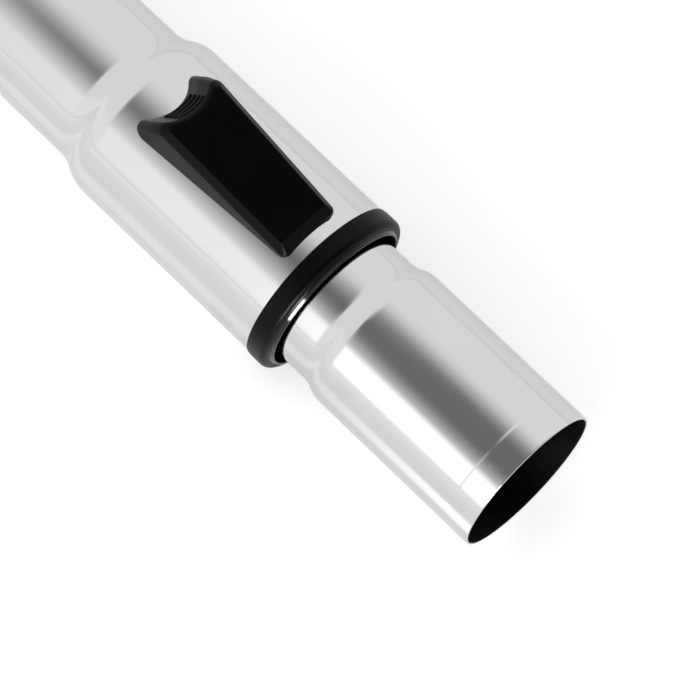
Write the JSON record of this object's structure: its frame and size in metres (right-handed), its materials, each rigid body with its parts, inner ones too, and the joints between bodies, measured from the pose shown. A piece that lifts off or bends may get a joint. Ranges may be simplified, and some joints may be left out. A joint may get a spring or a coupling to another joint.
{
  "type": "telescopic vacuum wand",
  "caption": "Telescopic chromed steel vacuum wand with a black sliding thumb latch, an end collar and a flared socket for the handle.",
  "frame": {"origin": "on the tube axis at the end face of the floor-head spigot", "axes": "+X along the tube axis towards the handle socket, +Z towards the thumb slide"},
  "size_m": [0.5632, 0.0422, 0.0501],
  "materials": {
    "chromed_steel": "mirror chrome plate",
    "black_plastic": "fine satin moulding",
    "wiper_rubber": "smooth",
    "bearing_plastic": "waxy moulding",
    "bare_steel": "ground"
  },
  "bodies": {
    "outer": {"outer_tube": "chromed_steel", "end_collar": "black_plastic", "wiper_ring": "wiper_rubber", "guide_sleeve": "bearing_plastic", "lock_housing": "bearing_plastic", "return_spring": "bare_steel"},
    "inner": {"inner_tube": "chromed_steel", "tail_glide": "bearing_plastic"},
    "button": {"button_cap": "black_plastic"},
    "pawl": {"lock_pawl": "bearing_plastic", "pawl_pin": "bare_steel"}
  },
  "joints": [
    {"name": "tube_slide", "type": "slide", "parent": "outer", "child": "inner", "axis": [1, 0, 0], "range_m": [0, 0.36]},
    {"name": "button_slide", "type": "slide", "parent": "outer", "child": "button", "axis": [1, 0, 0], "range_m": [0, 0.0026], "stiffness_N_per_m": 800, "springref_m": -0.003, "deforming": ["return_spring"]},
    {"name": "pawl_lift", "type": "slide", "parent": "outer", "child": "pawl", "axis": [0, 0, 1], "range_m": [0, 0.002]}
  ],
  "couplings": [
    {"joint": "pawl_lift", "follows": "button_slide", "ratio": 0.76923}
  ]
}
